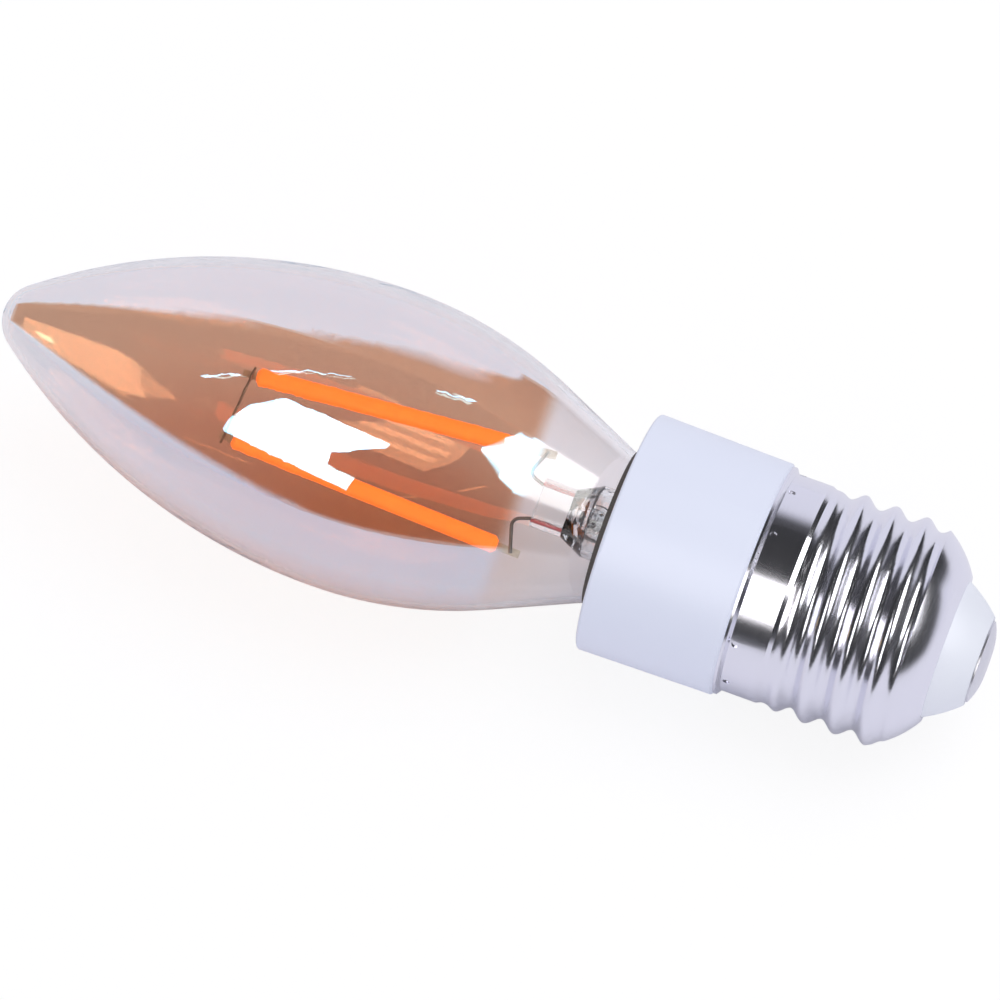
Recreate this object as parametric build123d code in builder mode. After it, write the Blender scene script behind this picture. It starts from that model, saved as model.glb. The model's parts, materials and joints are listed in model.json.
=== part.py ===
from build123d import *
from math import atan2, cos, degrees, floor, hypot, pi, radians, sin, sqrt, tan
import os

os.makedirs("parts", exist_ok=True)

# LED filament candle lamp on an Edison screw cap.
# Every piece is drawn upright about the lamp's own axis, the contact at z = 0 and the glass tip
# at the top, and is laid down at the end the way the lamp comes to rest on a table.
# All sizes are in millimetres and degrees.

# Glass envelope
belly_diameter = 35.1
belly_from_tip = 43.6
tip_radius = 4.4
shoulder_radius = 49.0
neck_slope = 24.0
neck_blend_radius = 8.0
neck_diameter = 17.0
neck_straight = 6.3
glass_wall = 0.7

# Driver collar
collar_height = 16.1
collar_cap_diameter = 27.3
collar_glass_diameter = 27.9
collar_edge_radius = 0.4
collar_cap_chamfer = 0.3
collar_wall = 1.5
collar_roof = 1.6
neck_depth = 7.8
cement_gap = 0.7
cement_rise = 1.05
cement_lip = 0.12
socket_wall = 1.5
socket_chamfer = 0.3
ledge_thickness = 1.0
ledge_width = 2.6
spigot_wall = 1.4
spigot_root = 1.8

# Screw cap
cap_height = 27.6
thread_pitch = 3.629
thread_major = 26.2
thread_minor = 24.0
thread_fade = 2.4
thread_phase = 58.0
crest_from_rim = 8.7
points_per_turn = 8
skirt_diameter = 25.6
skirt_height = 5.3
skirt_cone = 0.5
rim_diameter = 26.8
rim_height = 0.3
rim_flare = 0.4
shell_wall = 0.35
cap_shoulder_height = 5.1
cap_shoulder_bulge = 0.5
cap_shoulder_end = 17.2
lip_diameter = 15.4
dent_count = 12
dent_turn = 24.0
dent_from_rim = 1.3
dent_radius = 0.42
dent_depth = 0.2
dent_sides = 8

# Insulator and centre contact
insulator_height = 3.9
insulator_face_diameter = 10.4
insulator_bulge = 0.18
insulator_flange = 0.6
insulator_top = 1.65
contact_diameter = 9.5
contact_height = 1.0
contact_edge = 0.25
contact_flat_diameter = 4.4
contact_bulge = 0.12
rivet_diameter = 2.8
rivet_head_diameter = 4.6
rivet_head_height = 0.5

# Stem, leads and filaments
mount_turn = 247.0
stem_wall = 0.9
stem_tube_diameter = 8.4
flare_rim = 1.1
flare_height = 6.6
pinch_above_collar = 9.75
pinch_height = 3.7
pinch_taper = 2.8
pinch_width = 5.8
pinch_thickness = 2.6
exhaust_diameter = 3.0
exhaust_wall = 0.6
exhaust_stub = 8.5
exhaust_seal = 2.2
blow_hole_diameter = 1.5
lead_diameter = 0.4
lead_bend = 0.9
lead_offset = 1.95
lead_elbow_offset = 2.75
lead_over_board = 3.0
arm_height = 2.15
arm_drop = 1.2
arm_overhang = 0.3
filament_length = 32.2
filament_width = 2.0
filament_thickness = 1.8
filament_corner = 0.8
filament_end_chamfer = 0.4
filament_foot = 5.8
foot_shift = 0.4
filament_head = 3.85
head_shift = 1.25
tab_width = 0.9
tab_thickness = 0.25
foot_tab_length = 2.7
head_tab_length = 1.7
tab_above_arm = 1.7
bridge_diameter = 0.3
bridge_rise = 0.85
bridge_slant = 0.3
bridge_overhang = 0.9
weld_gap = 0.02

# Driver board and its components
board_thickness = 1.0
board_below_ledge = 0.4
board_above_shoulder = 3.0
board_slot_depth = 0.6
capacitor_diameter = 6.3
capacitor_length = 11.0
capacitor_offset = -5.6
capacitor_leg_spacing = 2.5
capacitor_chamfer = 0.35
component_leg_diameter = 0.5
component_leg_rise = 1.0
choke_diameter = 6.8
choke_height = 5.4
choke_flange = 1.0
choke_core_diameter = 2.8
choke_winding_diameter = 5.8
choke_offset = 5.2
rectifier_size = (4.7, 3.9, 2.3)
chip_size = (3.9, 4.9, 1.5)
pin_size = (0.9, 0.5, 0.3)
pin_pitch = 1.27
package_gap = 2.15
resistor_diameter = 2.8
resistor_length = 6.4
resistor_offset = 1.5
resistor_rise = 2.8
neutral_offset = -8.0
neutral_above_board_end = 3.2
neutral_contact_gap = 0.15

# Fits
slide_clearance = 0.1
seat_clearance = 0.05

# Heights along the axis
collar_top = cap_height + collar_height
neck_end = collar_top - neck_depth
ledge_bottom = neck_end - ledge_thickness
lip_height = contact_height + insulator_height
thread_top = cap_height - skirt_height
spigot_end = thread_top + skirt_cone + slide_clearance
shoulder_top = lip_height + cap_shoulder_height
crest_height = cap_height - crest_from_rim
pinch_top = collar_top + pinch_above_collar
pinch_low = pinch_top - pinch_height
arm_z = pinch_top + arm_height
weld_z = arm_z - arm_drop
foot_z = weld_z + tab_above_arm
board_top = ledge_bottom - board_below_ledge
board_low = shoulder_top + board_above_shoulder
insulator_end = lip_height + shell_wall + insulator_top
dent_height = cap_height - dent_from_rim

# Radii about the axis
belly = belly_diameter / 2
neck = neck_diameter / 2
neck_bore = neck - glass_wall
socket = neck + cement_gap
thread_mean = (thread_major + thread_minor) / 4
thread_swing = (thread_major - thread_minor) / 4
shell_bore = thread_minor / 2 - shell_wall
skirt_bore = skirt_diameter / 2 - shell_wall
spigot = skirt_bore - slide_clearance
spigot_bore = spigot - spigot_wall
lead = lead_diameter / 2
bridge = bridge_diameter / 2

# The filaments, the leads and the board share one plane through the axis: x is radius, y is height
mount = Plane(
    origin=(0, 0, 0),
    x_dir=(cos(radians(mount_turn)), sin(radians(mount_turn)), 0),
    z_dir=(sin(radians(mount_turn)), -cos(radians(mount_turn)), 0),
)
# The plane across it, for what stands on the board: x is the distance in front of the mount plane
across = Plane(origin=(0, 0, 0), x_dir=mount.z_dir, z_dir=-mount.x_dir)


def level(height):
    """The plane square to the axis at a height, turned with the mount."""
    return Plane(origin=(0, 0, height), x_dir=mount.x_dir, z_dir=(0, 0, 1))


# Glass envelope: a tip, a long flank, a shoulder, a straight cone and a blend into the neck
blend_x = neck + neck_blend_radius
blend_z = neck_end + neck_straight
shoulder_x = belly - shoulder_radius
arcs_radius = shoulder_radius + neck_blend_radius
arcs_rise = arcs_radius * sin(radians(neck_slope))
cone_run = shoulder_x - blend_x + arcs_radius * cos(radians(neck_slope))
belly_height = blend_z + arcs_rise + cone_run / tan(radians(neck_slope))
tip_z = belly_height + belly_from_tip - tip_radius
flank_rise = tip_z - belly_height
flank_radius = (flank_rise**2 + belly**2 - tip_radius**2) / (2 * (belly - tip_radius))
flank_angle = degrees(atan2(flank_rise, flank_radius - belly))


def candle_outline(inset):
    """Half outline of the glass, drawn inwards by inset, and its two ends."""
    tip = CenterArc((0, tip_z), tip_radius - inset, flank_angle, 90 - flank_angle)
    CenterArc((belly - flank_radius, belly_height), flank_radius - inset, 0, flank_angle)
    shoulder = CenterArc(
        (shoulder_x, belly_height), shoulder_radius - inset, -neck_slope, neck_slope
    )
    blend = CenterArc((blend_x, blend_z), neck_blend_radius + inset, 180 - neck_slope, neck_slope)
    Line(shoulder @ 0, blend @ 0)
    neck_side = Line(blend @ 1, (neck - inset, neck_end))
    return tip @ 1, neck_side @ 1


with BuildPart() as glass_envelope:
    with BuildSketch(Plane.XZ):
        with BuildLine():
            outer_tip, outer_neck = candle_outline(0)
            inner_tip, inner_neck = candle_outline(glass_wall)
            Line(outer_tip, inner_tip)
            Line(outer_neck, inner_neck)
        make_face()
    revolve(axis=Axis.Z)


# Leads: up from the board through the pinch, then bent out and down to a filament's tab
def lead_route(side):
    """Corners of a lead in the mount plane."""
    return [
        (side * lead_offset, board_top - lead_over_board),
        (side * lead_offset, pinch_top),
        (side * lead_elbow_offset, arm_z),
        (side * (filament_foot + arm_overhang) + foot_shift, weld_z),
    ]


def bent_wire(plane, corners, radius, bend=0):
    """A round wire along its corners, rounded or mitred there, inside the part that is being built."""
    with BuildLine(plane) as route:
        if bend:
            FilletPolyline(*corners, radius=bend)
        else:
            Polyline(*corners)
    with BuildSketch(Plane(origin=route.line @ 0, z_dir=route.line % 0)) as section:
        Circle(radius)
    sweep(section.sketch, path=route.line, transition=Transition.RIGHT)


with BuildPart() as lead_wire_1:
    bent_wire(mount, lead_route(1), lead, lead_bend)

with BuildPart() as lead_wire_2:
    bent_wire(mount, lead_route(-1), lead, lead_bend)


# Glass stem: flare fused to the neck, tube, pinch over the leads, exhaust tube with its blow hole
tube = stem_tube_diameter / 2
exhaust = exhaust_diameter / 2
exhaust_bore = exhaust - exhaust_wall
flare_top = neck_end + flare_height
tube_end = pinch_low - pinch_taper
exhaust_end = tube_end - exhaust_stub
blow_hole_z = tube_end + pinch_taper / 2

with BuildPart() as glass_stem:
    with BuildSketch(Plane.XZ):
        with BuildLine():
            Polyline(
                (tube, tube_end),
                (tube, flare_top),
                (neck_bore, neck_end + flare_rim),
                (neck_bore, neck_end),
                (neck_bore - stem_wall, neck_end),
                (tube - stem_wall, flare_top),
                (tube - stem_wall, tube_end),
                close=True,
            )
        make_face()
    revolve(axis=Axis.Z)
    with BuildSketch(level(tube_end)):
        Circle(tube)
    with BuildSketch(level(pinch_low)):
        SlotOverall(pinch_width, pinch_thickness)
    loft()
    with BuildSketch(level(pinch_low)):
        SlotOverall(pinch_width, pinch_thickness)
    extrude(amount=pinch_height)
    with BuildSketch(Plane.XZ):
        with BuildLine():
            Polyline(
                (0, exhaust_end),
                (exhaust, exhaust_end + exhaust_seal),
                (exhaust, tube_end),
                (0, tube_end),
                close=True,
            )
        make_face()
    revolve(axis=Axis.Z)
    with BuildSketch(level(exhaust_end + exhaust_seal)):
        Circle(exhaust_bore)
    extrude(amount=blow_hole_z - exhaust_end - exhaust_seal, mode=Mode.SUBTRACT)
    with BuildSketch(mount):
        with Locations((0, blow_hole_z)):
            Circle(blow_hole_diameter / 2)
    extrude(amount=tube, mode=Mode.SUBTRACT)
    add(lead_wire_1.part, mode=Mode.SUBTRACT)
    add(lead_wire_2.part, mode=Mode.SUBTRACT)


# Cement between the glass neck and the collar's socket, with a thin bead that climbs the glass
flare_run = sqrt(neck_blend_radius**2 - (collar_top + cement_rise - blend_z) ** 2)
bead = blend_x - flare_run

with BuildPart() as neck_cement:
    with BuildSketch(Plane.XZ):
        with BuildLine():
            Polyline(
                (neck - glass_wall / 2, neck_end),
                (socket, neck_end),
                (socket, collar_top - socket_chamfer),
                (bead + cement_lip, collar_top + cement_rise),
                (bead - glass_wall / 2, collar_top + cement_rise),
                close=True,
            )
        make_face()
    revolve(axis=Axis.Z)
    add(glass_envelope.part, mode=Mode.SUBTRACT)


# Filaments: rounded phosphor strips that lean together towards the tip, with a flat tab at each end
def filament_axis(side):
    """The plane at a filament's foot with its z along the strip and its x in front of the mount."""
    foot = mount.from_local_coords((side * filament_foot + foot_shift, foot_z, 0))
    head = mount.from_local_coords((side * filament_head + head_shift, foot_z + filament_length, 0))
    return Plane(origin=foot, x_dir=mount.z_dir, z_dir=head - foot)


def filament_reach(side):
    """Length of the phosphor strip along its own leaning axis."""
    lean = side * (filament_head - filament_foot) + head_shift - foot_shift
    return hypot(lean, filament_length)


def phosphor_strip(side):
    """The coated strip, inside the part that is being built."""
    axis = filament_axis(side)
    with BuildSketch(axis) as section:
        RectangleRounded(filament_thickness, filament_width, filament_corner)
    strip = extrude(section.sketch, amount=filament_reach(side))
    chamfer(strip.faces().filter_by(axis).edges(), filament_end_chamfer)


def end_tab(side, start, length, wire):
    """A flat tab on the wire, of a given radius, that it is welded to, inside the part being built."""
    with BuildSketch(filament_axis(side).offset(start)) as section:
        with Locations((wire + weld_gap + tab_thickness / 2, 0)):
            Rectangle(tab_thickness, tab_width)
    extrude(section.sketch, amount=length)


with BuildPart() as filament_1:
    phosphor_strip(1)

with BuildPart() as filament_2:
    phosphor_strip(-1)

with BuildPart() as filament_1_foot_tab:
    end_tab(1, 0, -foot_tab_length, lead)

with BuildPart() as filament_1_head_tab:
    end_tab(1, filament_reach(1), head_tab_length, bridge)

with BuildPart() as filament_2_foot_tab:
    end_tab(-1, 0, -foot_tab_length, lead)

with BuildPart() as filament_2_head_tab:
    end_tab(-1, filament_reach(-1), head_tab_length, bridge)

# Bridge wire: runs aslant over the two head tabs and a little past them
def bridge_end(side):
    """An end of the bridge wire in the mount plane."""
    reach = side * (filament_head + bridge_overhang) + head_shift
    return (reach, foot_z + filament_length + bridge_rise + side * bridge_slant)


with BuildPart() as bridge_wire:
    bent_wire(mount, [bridge_end(1), bridge_end(-1)], bridge)


# Driver collar: a moulded cup with a socket for the glass, a ledge under it and a spigot for the cap
board_half = spigot_bore + board_slot_depth - slide_clearance
board_front = -lead - weld_gap

with BuildPart() as collar:
    with BuildSketch(Plane.XZ):
        with BuildLine():
            Polyline(
                (spigot_bore, spigot_end),
                (spigot, spigot_end),
                (spigot, cap_height),
                (collar_cap_diameter / 2, cap_height),
                (collar_glass_diameter / 2, collar_top),
                (socket, collar_top),
                (socket, neck_end),
                (socket - ledge_width, neck_end),
                (socket - ledge_width, ledge_bottom),
                (socket + socket_wall, ledge_bottom),
                (socket + socket_wall, collar_top - collar_roof),
                (collar_glass_diameter / 2 - collar_wall, collar_top - collar_roof),
                (collar_cap_diameter / 2 - collar_wall, cap_height + spigot_root),
                (spigot_bore, cap_height + spigot_root),
                close=True,
            )
        make_face()
    revolve(axis=Axis.Z)
    roof_edges = collar.edges().filter_by(GeomType.CIRCLE).group_by(Axis.Z)[-1].sort_by(SortBy.RADIUS)
    fillet(roof_edges[-1], collar_edge_radius)
    chamfer(roof_edges[0], socket_chamfer)
    cap_edges = collar.edges().filter_by_position(Axis.Z, cap_height, cap_height).sort_by(SortBy.RADIUS)
    chamfer(cap_edges[-1], collar_cap_chamfer)
    with BuildSketch(level(spigot_end)):
        with Locations((0, -(board_front - board_thickness / 2))):
            Rectangle(2 * (board_half + slide_clearance), board_thickness + 2 * slide_clearance)
    extrude(amount=cap_height + spigot_root - spigot_end, mode=Mode.SUBTRACT)


# Screw shell: a circle carried round a small helix rolls the knuckle thread, which dies out at the skirt
def thread_route(low, high):
    """Centres of the rolled section: a helix whose swing fades to nothing at the top."""
    count = round((high - low) / thread_pitch * points_per_turn)
    centres = []
    for step in range(count + 1):
        z = low + (high - low) * step / count
        left = min(1, (high - z) / thread_fade)
        swing = thread_swing * left * left * (3 - 2 * left)
        turn = radians(thread_phase) + 2 * pi * (z - crest_height) / thread_pitch
        centres.append((swing * cos(turn), swing * sin(turn), z))
    return centres


shell_limit = thread_major / 2 + slide_clearance
bulge_run = shell_limit - cap_shoulder_end / 2
bulge_chord = hypot(bulge_run, cap_shoulder_height)
bulge_radius = (bulge_chord**2 / 4 + cap_shoulder_bulge**2) / (2 * cap_shoulder_bulge)
bulge_depth = (bulge_radius - cap_shoulder_bulge) / bulge_chord
bulge_x = shell_limit - bulge_run / 2 - bulge_depth * cap_shoulder_height
bulge_z = lip_height + cap_shoulder_height / 2 + bulge_depth * bulge_run


def shoulder_outline(inset, top, radius):
    """Half outline of the bulging shoulder, drawn inwards by inset, closed at a top height and radius."""
    reach = bulge_radius - inset
    base = lip_height + inset
    first = degrees(atan2(base - bulge_z, sqrt(reach**2 - (base - bulge_z) ** 2)))
    last = degrees(atan2(-sqrt(reach**2 - (radius - bulge_x) ** 2), radius - bulge_x))
    with BuildLine() as outline:
        side = CenterArc((bulge_x, bulge_z), reach, first, last - first)
        Polyline(side @ 1, (radius, top), (0, top), (0, base), side @ 0)
    make_face(outline.edges())


with BuildPart() as shell_outside:
    centres = thread_route(lip_height, thread_top)
    with BuildLine() as thread_path:
        Spline(*centres)
    with BuildSketch(Plane(origin=centres[0])):
        Circle(thread_mean)
    sweep(path=thread_path.line, normal=(0, 0, 1))
    with BuildSketch(Plane.XZ):
        with BuildLine():
            Polyline(
                (0, thread_top),
                (thread_mean, thread_top),
                (skirt_diameter / 2, thread_top + skirt_cone),
                (skirt_diameter / 2, cap_height - rim_height - rim_flare),
                (rim_diameter / 2, cap_height - rim_height),
                (rim_diameter / 2, cap_height),
                (0, cap_height),
                close=True,
            )
        make_face()
    revolve(axis=Axis.Z)
    with BuildSketch(Plane.XZ):
        shoulder_outline(0, cap_height, max(shell_limit, rim_diameter / 2))
    revolve(axis=Axis.Z, mode=Mode.INTERSECT)

with BuildPart() as shell_inside:
    with BuildSketch(Plane.XZ):
        shoulder_outline(shell_wall, thread_top, shell_bore)
    revolve(axis=Axis.Z)
    with BuildSketch(Plane.XZ):
        with BuildLine():
            Polyline(
                (0, thread_top - skirt_cone),
                (shell_bore, thread_top - skirt_cone),
                (skirt_bore, thread_top + skirt_cone),
                (skirt_bore, cap_height),
                (0, cap_height),
                close=True,
            )
        make_face()
    revolve(axis=Axis.Z)
    with BuildSketch(level(lip_height)):
        Circle(lip_diameter / 2)
    extrude(amount=2 * shell_wall)

# A ring of punched dents grips the shell on the collar's spigot
with BuildPart() as dent:
    skirt_side = Plane(origin=(skirt_diameter / 2, 0, dent_height), z_dir=(-1, 0, 0))
    with BuildSketch(skirt_side):
        RegularPolygon(dent_radius, dent_sides)
    extrude(amount=dent_depth)

with BuildPart() as screw_shell:
    add(shell_outside.part)
    add(shell_inside.part, mode=Mode.SUBTRACT)
    with PolarLocations(0, dent_count, start_angle=dent_turn):
        add(dent.part, mode=Mode.SUBTRACT)


# Insulator: a full cone moulded round the shell's lip, with a hole for the contact's rivet
lip = lip_diameter / 2 - seat_clearance
rivet = rivet_diameter / 2
cone_start = insulator_face_diameter / 2
cone_end = (lip_diameter + insulator_flange) / 2

with BuildPart() as cap_insulator:
    with BuildSketch(Plane.XZ):
        with BuildLine():
            cone_side = SagittaArc(
                (cone_end, lip_height), (cone_start, contact_height), insulator_bulge
            )
            Polyline(
                cone_side @ 0,
                (lip, lip_height),
                (lip, lip_height + shell_wall),
                (lip + insulator_flange, lip_height + shell_wall),
                (lip + insulator_flange, insulator_end),
                (rivet + slide_clearance, insulator_end),
                (rivet + slide_clearance, contact_height),
                cone_side @ 1,
            )
        make_face()
    revolve(axis=Axis.Z)

# Centre contact: a disc that bulges to a flat middle, riveted through the insulator
with BuildPart() as centre_contact:
    with BuildSketch(Plane.XZ):
        with BuildLine():
            bulge = SagittaArc(
                (contact_diameter / 2, contact_height - contact_edge),
                (contact_flat_diameter / 2, 0),
                contact_bulge,
            )
            Polyline(
                bulge @ 1,
                (0, 0),
                (0, insulator_end + rivet_head_height),
                (rivet_head_diameter / 2, insulator_end + rivet_head_height),
                (rivet_head_diameter / 2, insulator_end),
                (rivet, insulator_end),
                (rivet, contact_height),
                (contact_diameter / 2, contact_height),
                bulge @ 0,
            )
        make_face()
    revolve(axis=Axis.Z)


# Places on the driver board, in the mount plane
leg = component_leg_diameter / 2
leg_hole = leg + slide_clearance
board_back = board_front - board_thickness
leg_reach = board_back - component_leg_diameter
capacitor = capacitor_diameter / 2
capacitor_front = board_front + seat_clearance + capacitor
capacitor_base = cap_height
capacitor_leg_z = capacitor_base + component_leg_rise
capacitor_legs = [capacitor_offset + side * capacitor_leg_spacing / 2 for side in (-1, 1)]
choke_z = thread_top
rivet_top = insulator_end + rivet_head_height
resistor_low = rivet_top + resistor_rise
resistor_leg_z = resistor_low + resistor_length + component_leg_rise
chip_z = resistor_leg_z + chip_size[1] / 2 + component_leg_rise
rectifier_z = chip_z + chip_size[1] / 2 + package_gap + rectifier_size[1] / 2

with BuildPart() as driver_board:
    with BuildSketch(mount.offset(board_back)):
        with Locations((0, (board_top + board_low) / 2)):
            Rectangle(2 * board_half, board_top - board_low)
        with Locations(*[(x, capacitor_leg_z) for x in capacitor_legs], (0, resistor_leg_z)):
            Circle(leg_hole, mode=Mode.SUBTRACT)
    extrude(amount=board_thickness)
    corners = driver_board.edges().filter_by(GeomType.LINE).filter_by(Axis((0, 0, 0), mount.z_dir))
    chamfer(corners.group_by(Axis.Z)[0], board_slot_depth)


# Bulk capacitor: a sleeved can lying on the board, its legs bent down through it
with BuildPart() as bulk_capacitor:
    can = Plane(
        origin=mount.from_local_coords((capacitor_offset, capacitor_base, capacitor_front)),
        x_dir=mount.x_dir,
        z_dir=(0, 0, -1),
    )
    with BuildSketch(can):
        Circle(capacitor)
    extrude(amount=capacitor_length)
    chamfer(bulk_capacitor.edges().filter_by(GeomType.CIRCLE), capacitor_chamfer)
    for x in capacitor_legs:
        bent_wire(
            across.offset(-x),
            [
                (capacitor_front, capacitor_base),
                (capacitor_front, capacitor_leg_z),
                (leg_reach, capacitor_leg_z),
            ],
            leg,
        )


# Choke: a ferrite drum standing on the board with its winding between the flanges
choke_base = board_front + seat_clearance


def choke_ring(start, length, outer, inner):
    """A ring about the drum's axis, inside the part that is being built."""
    with BuildSketch(mount.offset(choke_base + start)) as section:
        with Locations((choke_offset, choke_z)):
            Circle(outer)
            if inner:
                Circle(inner, mode=Mode.SUBTRACT)
    extrude(section.sketch, amount=length)


with BuildPart() as choke_core:
    choke_ring(0, choke_flange, choke_diameter / 2, 0)
    choke_ring(choke_flange, choke_height - 2 * choke_flange, choke_core_diameter / 2, 0)
    choke_ring(choke_height - choke_flange, choke_flange, choke_diameter / 2, 0)

with BuildPart() as choke_winding:
    choke_ring(
        choke_flange + seat_clearance,
        choke_height - 2 * choke_flange - 2 * seat_clearance,
        choke_winding_diameter / 2,
        choke_core_diameter / 2 + seat_clearance,
    )


# Surface-mount pieces on the back of the board
def flat_package(size, height, rows):
    """A moulded body with a row of pins on each side, inside the part that is being built."""
    width, length, thickness = size
    pin_length, pin_width, pin_height = pin_size
    with BuildSketch(mount.offset(board_back - pin_height / 2)) as body:
        with Locations((0, height)):
            Rectangle(width, length)
    extrude(body.sketch, amount=-thickness)
    with BuildSketch(mount.offset(board_back)) as pins:
        with Locations((0, height)):
            with GridLocations(width + pin_length, pin_pitch, 2, rows):
                Rectangle(pin_length, pin_width)
    extrude(pins.sketch, amount=-2 * pin_height)


with BuildPart() as bridge_rectifier:
    flat_package(rectifier_size, rectifier_z, 2)

with BuildPart() as driver_chip:
    flat_package(chip_size, chip_z, 4)

# Fusible resistor: hangs between the contact's rivet and the board on its own leads
with BuildPart() as fuse_resistor:
    bent_wire(
        across,
        [
            (0, rivet_top),
            (0, rivet_top + leg),
            (resistor_offset, resistor_low - leg),
            (resistor_offset, resistor_leg_z),
            (leg_reach, resistor_leg_z),
        ],
        leg,
    )
    with BuildSketch(Plane(across.from_local_coords((resistor_offset, resistor_low, 0)))):
        Circle(resistor_diameter / 2)
    extrude(amount=resistor_length)

# Neutral wire: soldered to the back of the board, its end bent out to the shell
neutral_back = board_back - weld_gap - leg
neutral_end = sqrt((shell_bore - neutral_contact_gap) ** 2 - (abs(neutral_offset) + leg) ** 2)
neutral_z = board_low + neutral_above_board_end

with BuildPart() as neutral_wire:
    bent_wire(
        across.offset(-neutral_offset),
        [
            (neutral_back, cap_height),
            (neutral_back, neutral_z),
            (-neutral_end, neutral_z),
        ],
        leg,
    )

# Laid on a table: the belly and a thread crest touch it, the tip points to -X and the cap to +X
pieces = {
    "glass_envelope": glass_envelope,
    "glass_stem": glass_stem,
    "neck_cement": neck_cement,
    "lead_wire_1": lead_wire_1,
    "lead_wire_2": lead_wire_2,
    "filament_1": filament_1,
    "filament_2": filament_2,
    "filament_1_foot_tab": filament_1_foot_tab,
    "filament_1_head_tab": filament_1_head_tab,
    "filament_2_foot_tab": filament_2_foot_tab,
    "filament_2_head_tab": filament_2_head_tab,
    "bridge_wire": bridge_wire,
    "collar": collar,
    "screw_shell": screw_shell,
    "cap_insulator": cap_insulator,
    "centre_contact": centre_contact,
    "driver_board": driver_board,
    "bulk_capacitor": bulk_capacitor,
    "choke_core": choke_core,
    "choke_winding": choke_winding,
    "bridge_rectifier": bridge_rectifier,
    "driver_chip": driver_chip,
    "fuse_resistor": fuse_resistor,
    "neutral_wire": neutral_wire,
}
under_crest = crest_height + thread_pitch * (180 - thread_phase) / 360
touch_height = under_crest - thread_pitch * floor((under_crest - shoulder_top) / thread_pitch)
rest_tilt = atan2(belly - thread_major / 2, belly_height - touch_height)
lying = Plane(
    origin=(0, 0, 0),
    x_dir=(sin(rest_tilt), 0, cos(rest_tilt)),
    z_dir=(-cos(rest_tilt), 0, sin(rest_tilt)),
)
outside_pieces = [glass_envelope, collar, screw_shell, cap_insulator, centre_contact]
box = Compound([lying.from_local_coords(piece.part) for piece in outside_pieces]).bounding_box()
at_rest = Plane(
    origin=(-box.center().X, -box.center().Y, -box.min.Z), x_dir=lying.x_dir, z_dir=lying.z_dir
)

for name, piece in pieces.items():
    laid = at_rest.from_local_coords(piece.part)
    laid.label = name
    export_step(laid, f"parts/{name}.step")
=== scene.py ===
# %% [markdown]
# # An amber candle lamp on a screw cap
#
# The solids of this lamp already have their true shapes: a blown glass, a stem with two filaments, a
# moulded collar and a rolled screw cap. Blender's share is the look of them. A lamp is mostly glass and
# bright metal, and such things show what stands around them more than a colour of their own. So this
# lesson spends as much care on the studio as on the finishes.

# %% Load the lamp
import json
from math import cos, pi, radians, sin

import bmesh
import bpy
from mathutils import Matrix, Vector

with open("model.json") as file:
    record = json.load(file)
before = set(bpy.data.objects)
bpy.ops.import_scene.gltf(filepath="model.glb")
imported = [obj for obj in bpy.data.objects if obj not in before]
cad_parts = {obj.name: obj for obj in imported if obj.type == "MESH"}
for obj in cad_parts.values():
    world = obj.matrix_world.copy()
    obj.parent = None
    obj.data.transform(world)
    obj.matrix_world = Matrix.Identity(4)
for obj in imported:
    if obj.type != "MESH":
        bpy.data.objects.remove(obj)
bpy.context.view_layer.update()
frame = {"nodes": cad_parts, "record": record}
nodes = frame["nodes"]
print("pieces loaded:", len(nodes))

# %% [markdown]
# ## The lamp's own axis
#
# The lamp lies on its side, a little nose up. Many finishes follow its long axis, such as the roller
# marks on the cap. The flat end contact is listed with its place and direction, so the axis is read
# from there and not measured by eye.

# %% Find the axis
contact = next(m for m in frame["record"]["mounts"] if m["name"] == "centre_contact")
lamp_foot = Vector(contact["pos_m"])
lamp_axis = -Vector(contact["axis"]).normalized()
lamp_side = Vector((0, 1, 0))
lamp_up = lamp_side.cross(lamp_axis)
lamp_frame = Matrix((lamp_up, lamp_side, lamp_axis)).transposed().to_4x4()
lamp_frame.translation = lamp_foot
print("axis from cap to tip:", [round(v, 3) for v in lamp_axis])

# %% [markdown]
# ## The camera
#
# The photograph looks down on the lamp from the side of its cap, with a long lens. A long lens keeps
# both ends of the lamp nearly the same size, so the distance and the focal length are set together.

# %% Place the camera
view_turn = radians(20.8)
view_rise = radians(57.3)
view_distance = 0.660
view_aim = Vector((0.0015, -0.0012, 0.0160))
lens_mm = 212.0

to_camera = Vector((sin(view_turn) * cos(view_rise), -cos(view_turn) * cos(view_rise), sin(view_rise)))
camera_data = bpy.data.cameras.new("camera")
camera_data.lens = lens_mm
camera_data.sensor_width = 36.0
camera_data.clip_start = 0.01
camera = bpy.data.objects.new("camera", camera_data)
camera.location = view_aim + to_camera * view_distance
camera.rotation_euler = to_camera.to_track_quat("Z", "Y").to_euler()
bpy.context.scene.collection.objects.link(camera)
bpy.context.scene.camera = camera
bpy.context.scene.view_settings.view_transform = "Standard"
print("camera at", [round(v, 3) for v in camera.location])

# %% [markdown]
# ## Helpers for shader nodes
#
# Every finish below is a Principled shader with a few nodes in front of it. These helpers add a node
# with its values set, join two sockets and start a material, so that each finish reads as a short list.


# %% Node helpers
def add_node(tree, kind, **values):
    """A new node in a tree, with its properties set by name."""
    node = tree.nodes.new(kind)
    for name, value in values.items():
        setattr(node, name, value)
    return node


def join(tree, source, target):
    """A link from one socket to another."""
    tree.links.new(source, target)


def opened(material):
    """The node tree of a material and its Principled shader."""
    tree = material.node_tree
    return tree, tree.nodes["Principled BSDF"]


def principled(name, settings):
    """A material with a Principled shader whose plain sockets are set from a dictionary."""
    material = bpy.data.materials.new(name)
    material.use_nodes = True
    tree, shader = opened(material)
    for socket, value in settings.items():
        shader.inputs[socket].default_value = value
    return material, tree, shader


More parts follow.
